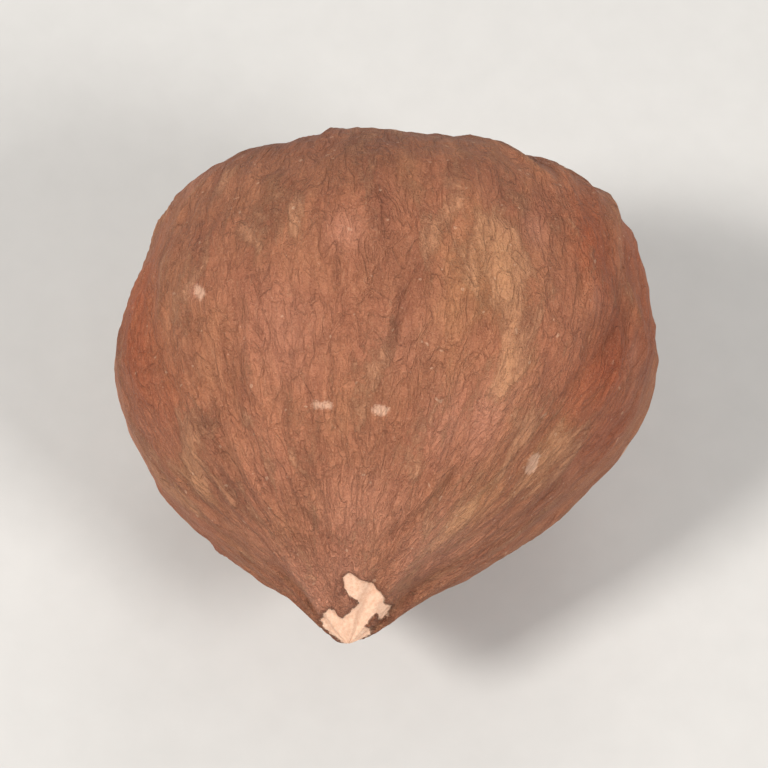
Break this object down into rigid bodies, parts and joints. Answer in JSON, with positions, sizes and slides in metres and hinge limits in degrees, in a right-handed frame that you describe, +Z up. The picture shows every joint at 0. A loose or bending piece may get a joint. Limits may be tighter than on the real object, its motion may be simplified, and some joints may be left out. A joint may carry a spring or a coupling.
{
  "type": "hazelnut kernel",
  "caption": "Shelled hazelnut kernel in its thin brown skin, lying on its side on a small flat spot, with a pointed tip and a blunt end.",
  "frame": {"origin": "on the surface it rests on, under the middle of the kernel's box", "axes": "+Z up, out of the flat spot it rests on; -Y towards the pointed tip; +X to the right when the tip points at the viewer from above"},
  "size_m": [0.0152, 0.0144, 0.0129],
  "materials": {
    "kernel_skin": "matte"
  },
  "bodies": {
    "root": {"kernel": "kernel_skin"}
  },
  "joints": []
}
